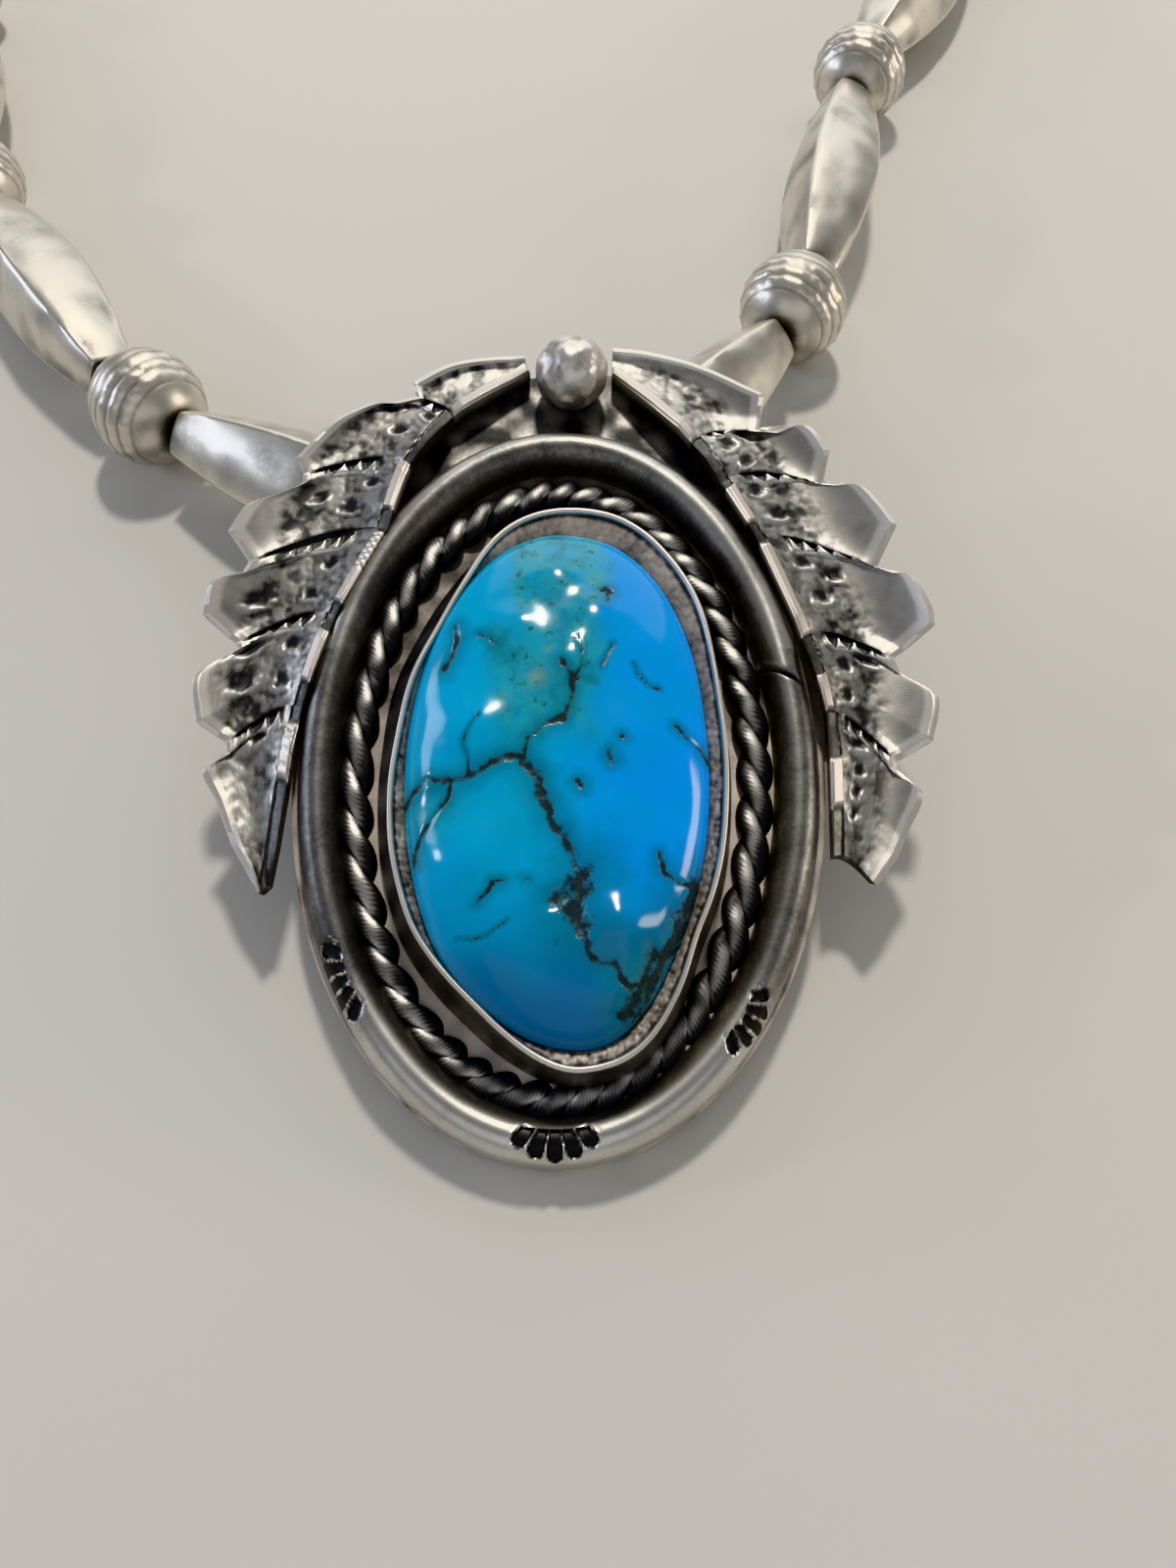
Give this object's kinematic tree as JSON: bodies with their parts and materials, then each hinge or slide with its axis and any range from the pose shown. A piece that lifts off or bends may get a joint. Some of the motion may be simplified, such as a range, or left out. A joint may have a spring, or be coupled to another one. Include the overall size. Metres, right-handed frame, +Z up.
{
  "type": "turquoise necklace",
  "caption": "Silver bead necklace with an oval turquoise pendant, framed in rope wire and a half-round rim with chiselled leaves; lies flat as one closed loop.",
  "frame": {"origin": "middle of the footprint of the whole necklace, on the surface it lies on", "axes": "+Z up; +Y from the pendant's foot to its top and on to the back of the neck; +X to the right of the stone as seen from above"},
  "size_m": [0.1226, 0.245, 0.0142],
  "materials": {
    "old_silver": "oxidised silver, dark in its recesses and polished on its edges",
    "bead_silver": "satin handmade silver with soft scratches",
    "turquoise": "polished blue turquoise with dark brown matrix",
    "thread": "grey stringing cable"
  },
  "bodies": {
    "root": {"pendant_setting": "old_silver", "turquoise_stone": "turquoise", "stringing_thread": "thread", "clasp": "bead_silver", "long_bead_left_1": "bead_silver", "long_bead_left_2": "bead_silver", "long_bead_left_3": "bead_silver", "long_bead_left_4": "bead_silver", "long_bead_left_5": "bead_silver", "long_bead_left_6": "bead_silver", "long_bead_left_7": "bead_silver", "long_bead_left_8": "bead_silver", "round_bead_left_1": "bead_silver", "round_bead_left_2": "bead_silver", "round_bead_left_3": "bead_silver", "round_bead_left_4": "bead_silver", "round_bead_left_5": "bead_silver", "round_bead_left_6": "bead_silver", "round_bead_left_7": "bead_silver", "long_bead_right_1": "bead_silver", "long_bead_right_2": "bead_silver", "long_bead_right_3": "bead_silver", "long_bead_right_4": "bead_silver", "long_bead_right_5": "bead_silver", "long_bead_right_6": "bead_silver", "long_bead_right_7": "bead_silver", "long_bead_right_8": "bead_silver", "round_bead_right_1": "bead_silver", "round_bead_right_2": "bead_silver", "round_bead_right_3": "bead_silver", "round_bead_right_4": "bead_silver", "round_bead_right_5": "bead_silver", "round_bead_right_6": "bead_silver", "round_bead_right_7": "bead_silver"}
  },
  "joints": []
}
